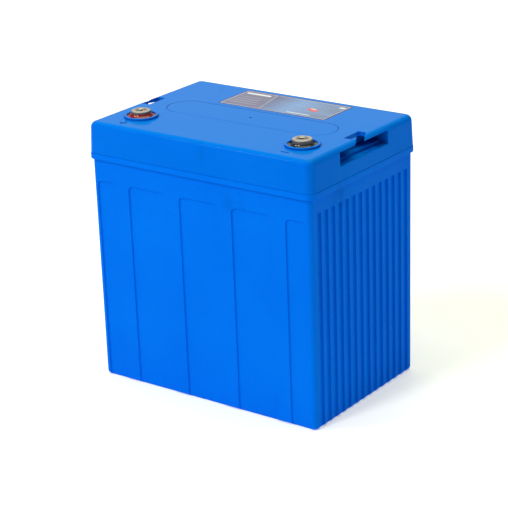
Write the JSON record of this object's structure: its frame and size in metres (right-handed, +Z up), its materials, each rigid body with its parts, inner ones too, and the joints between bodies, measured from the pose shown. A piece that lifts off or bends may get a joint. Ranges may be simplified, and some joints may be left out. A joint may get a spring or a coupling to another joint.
{
  "type": "sealed deep-cycle battery",
  "caption": "Blue rectangular sealed lead-acid battery with ribbed case, flush vent cover, threaded terminals and a hand-hold in each short side.",
  "frame": {"origin": "centre of the case's underside", "axes": "+X along the long face towards the negative terminal, +Y from the terminal side to the label side, +Z up"},
  "size_m": [0.26, 0.18, 0.2709],
  "materials": {
    "blue_container": "fine moulded satin",
    "blue_lid": "fine moulded satin",
    "porous_plastic": "sintered",
    "label_film": "printed film",
    "black_rubber": "smooth",
    "lead_alloy": "dull cast",
    "brass": "turned",
    "red_epoxy": "glossy cast",
    "black_epoxy": "glossy cast",
    "positive_plate": "pasted lead dioxide",
    "negative_plate": "pasted sponge lead",
    "glass_mat": "absorbent glass mat"
  },
  "bodies": {
    "case": {"container": "blue_container", "lid": "blue_lid", "vent_cover": "blue_lid", "flame_arrestor": "porous_plastic", "label": "label_film", "terminal_post_positive": "lead_alloy", "terminal_insert_positive": "brass", "terminal_oring_positive": "black_rubber", "sealing_ring_positive": "red_epoxy", "terminal_post_negative": "lead_alloy", "terminal_insert_negative": "brass", "terminal_oring_negative": "black_rubber", "sealing_ring_negative": "black_epoxy", "positive_plates_1": "positive_plate", "negative_plates_1": "negative_plate", "separators_1": "glass_mat", "positive_strap_1": "lead_alloy", "negative_strap_1": "lead_alloy", "positive_plates_2": "positive_plate", "negative_plates_2": "negative_plate", "separators_2": "glass_mat", "positive_strap_2": "lead_alloy", "negative_strap_2": "lead_alloy", "positive_plates_3": "positive_plate", "negative_plates_3": "negative_plate", "separators_3": "glass_mat", "positive_strap_3": "lead_alloy", "negative_strap_3": "lead_alloy", "intercell_weld_1": "lead_alloy", "intercell_weld_2": "lead_alloy"},
    "valve_1": {"relief_valve_1": "black_rubber"},
    "valve_2": {"relief_valve_2": "black_rubber"},
    "valve_3": {"relief_valve_3": "black_rubber"}
  },
  "joints": [
    {"name": "valve_lift_1", "type": "slide", "parent": "case", "child": "valve_1", "axis": [0, 0, 1], "range_m": [0, 0.0008], "stiffness_N_per_m": 400},
    {"name": "valve_lift_2", "type": "slide", "parent": "case", "child": "valve_2", "axis": [0, 0, 1], "range_m": [0, 0.0008], "stiffness_N_per_m": 400},
    {"name": "valve_lift_3", "type": "slide", "parent": "case", "child": "valve_3", "axis": [0, 0, 1], "range_m": [0, 0.0008], "stiffness_N_per_m": 400}
  ]
}
